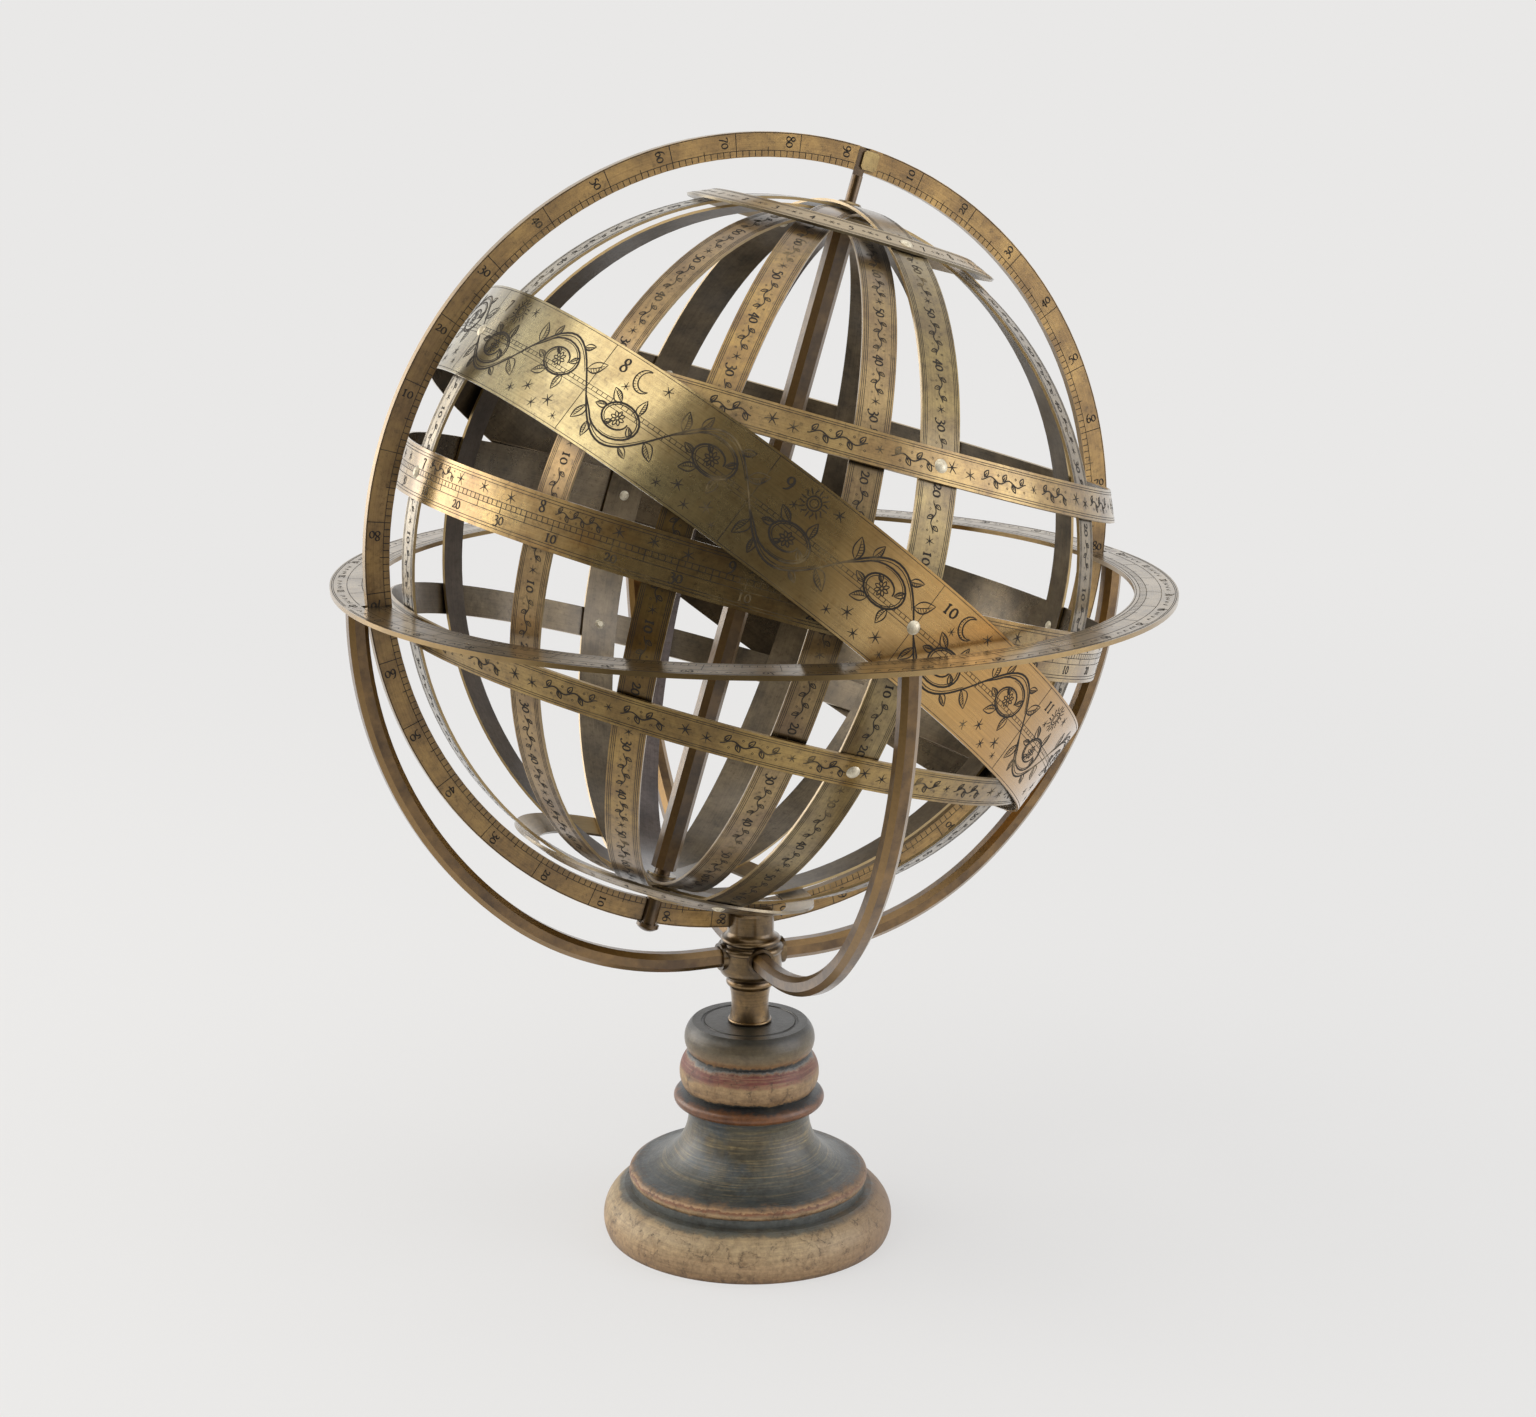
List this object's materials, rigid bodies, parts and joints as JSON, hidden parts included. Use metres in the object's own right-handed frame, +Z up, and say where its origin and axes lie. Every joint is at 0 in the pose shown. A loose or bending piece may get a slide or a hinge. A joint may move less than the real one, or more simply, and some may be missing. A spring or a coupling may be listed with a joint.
{
  "type": "armillary sphere",
  "caption": "Table armillary sphere: a brass cage of celestial circles spins in a sliding meridian ring, held by a four-armed cradle with horizon ring on a turned painted wooden foot.",
  "frame": {"origin": "centre of the underside of the wooden foot, on the surface that it stands on", "axes": "+Z up along the foot and stem; the meridian ring stands in the XZ plane with its engraved face towards -Y, and the north pole leans towards +X"},
  "size_m": [0.218, 0.218, 0.294],
  "materials": {
    "painted_wood": "worn paint over gesso",
    "plain_brass": "aged, patinated",
    "engraved_brass": "aged sheet brass, engraved",
    "rivet_metal": "dull silvery"
  },
  "bodies": {
    "stand": {"wooden_foot": "painted_wood", "stem": "plain_brass", "hub": "plain_brass", "cradle_arm_left": "plain_brass", "cradle_arm_right": "plain_brass", "cradle_arm_front": "plain_brass", "cradle_arm_back": "plain_brass", "horizon_ring": "engraved_brass"},
    "meridian": {"meridian_ring": "engraved_brass", "axis_rod": "plain_brass", "north_pin_keeper": "plain_brass"},
    "sphere": {"equinox_colure": "engraved_brass", "solstice_colure": "engraved_brass", "hour_circle_1": "engraved_brass", "hour_circle_2": "engraved_brass", "hour_circle_3": "engraved_brass", "hour_circle_4": "engraved_brass", "arctic_circle": "engraved_brass", "tropic_of_cancer": "engraved_brass", "equator_ring": "engraved_brass", "tropic_of_capricorn": "engraved_brass", "antarctic_circle": "engraved_brass", "zodiac_band": "engraved_brass", "north_bush": "plain_brass", "south_bush": "plain_brass", "parallel_rivets": "rivet_metal", "zodiac_rivets": "rivet_metal"}
  },
  "joints": [
    {"name": "meridian_turn", "type": "hinge", "parent": "stand", "child": "meridian", "pos_m": [0, 0, 0.19], "axis": [0, 1, 0], "range_deg": [-10.5, 50]},
    {"name": "sphere_spin", "type": "hinge", "parent": "meridian", "child": "sphere", "pos_m": [0, 0, 0.19], "axis": [0.2823, 0, 0.9593], "continuous": true}
  ]
}
